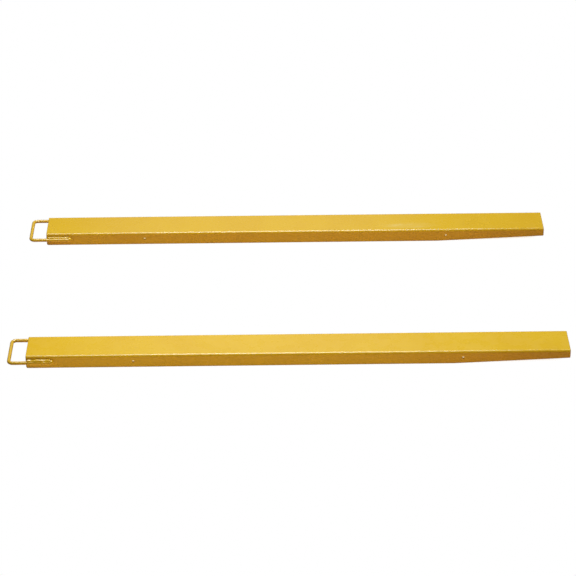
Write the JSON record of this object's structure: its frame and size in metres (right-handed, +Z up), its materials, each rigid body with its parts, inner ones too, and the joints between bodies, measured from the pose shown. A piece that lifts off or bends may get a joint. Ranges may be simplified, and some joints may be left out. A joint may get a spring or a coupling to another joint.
{
  "type": "pallet fork extension pair",
  "caption": "Pair of slip-on fork extension sleeves: bent plate channels open underneath, tapered towards the toe, each with a welded round bar loop at the heel.",
  "frame": {"origin": "on the floor, under the middle of the pair's overall box, midway between the sleeves", "axes": "+X along the sleeves from heel to toe, +Y across the pair towards the left sleeve, +Z up out of the decks"},
  "size_m": [1.893, 0.9484, 0.047],
  "materials": {
    "powder_coat_plate": "satin yellow powder coat on bent steel plate",
    "powder_coat_bar": "satin yellow powder coat on round bar",
    "powder_coat_weld": "satin yellow powder coat over rippled weld beads"
  },
  "bodies": {
    "left_sleeve": {"left_channel": "powder_coat_plate", "left_heel_loop": "powder_coat_bar", "left_toe_plate": "powder_coat_plate", "left_toe_weld": "powder_coat_weld", "left_outer_top_weld": "powder_coat_weld", "left_outer_bottom_weld": "powder_coat_weld", "left_outer_end_weld": "powder_coat_weld", "left_inner_top_weld": "powder_coat_weld", "left_inner_bottom_weld": "powder_coat_weld", "left_inner_end_weld": "powder_coat_weld"},
    "right_sleeve": {"right_channel": "powder_coat_plate", "right_heel_loop": "powder_coat_bar", "right_toe_plate": "powder_coat_plate", "right_toe_weld": "powder_coat_weld", "right_outer_top_weld": "powder_coat_weld", "right_outer_bottom_weld": "powder_coat_weld", "right_outer_end_weld": "powder_coat_weld", "right_inner_top_weld": "powder_coat_weld", "right_inner_bottom_weld": "powder_coat_weld", "right_inner_end_weld": "powder_coat_weld"}
  },
  "joints": [
    {"name": "fork_spacing", "type": "slide", "parent": "left_sleeve", "child": "right_sleeve", "axis": [0, -1, 0], "range_m": [-0.64, 0.14]}
  ]
}
